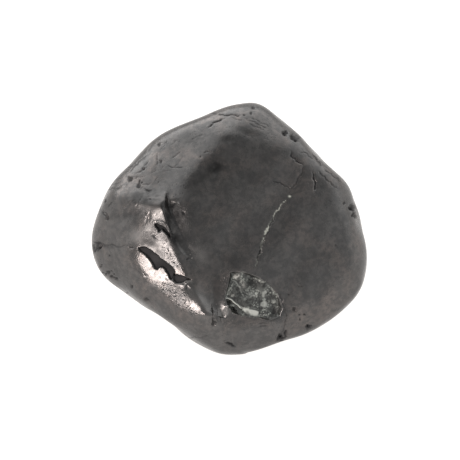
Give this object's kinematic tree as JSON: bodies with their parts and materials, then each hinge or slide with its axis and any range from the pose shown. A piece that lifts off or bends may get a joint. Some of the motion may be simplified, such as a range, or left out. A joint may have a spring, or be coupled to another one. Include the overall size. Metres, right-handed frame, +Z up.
{
  "type": "tumbled shungite stone",
  "caption": "Dark polished tumbled stone with broad worn facets, a raised lobe, a fractured chip, a fissure and small pits; rests on one flat.",
  "frame": {"origin": "on the ground, under the middle of the stone's box", "axes": "+X to the right and +Y away from the viewer who looks at the broad face, +Z up; the broad face leans back and looks 60 degrees up towards -Y"},
  "size_m": [0.04, 0.0348, 0.0271],
  "materials": {
    "shungite": "tumble polished, semi-metallic grey black"
  },
  "bodies": {
    "root": {"stone": "shungite"}
  },
  "joints": []
}
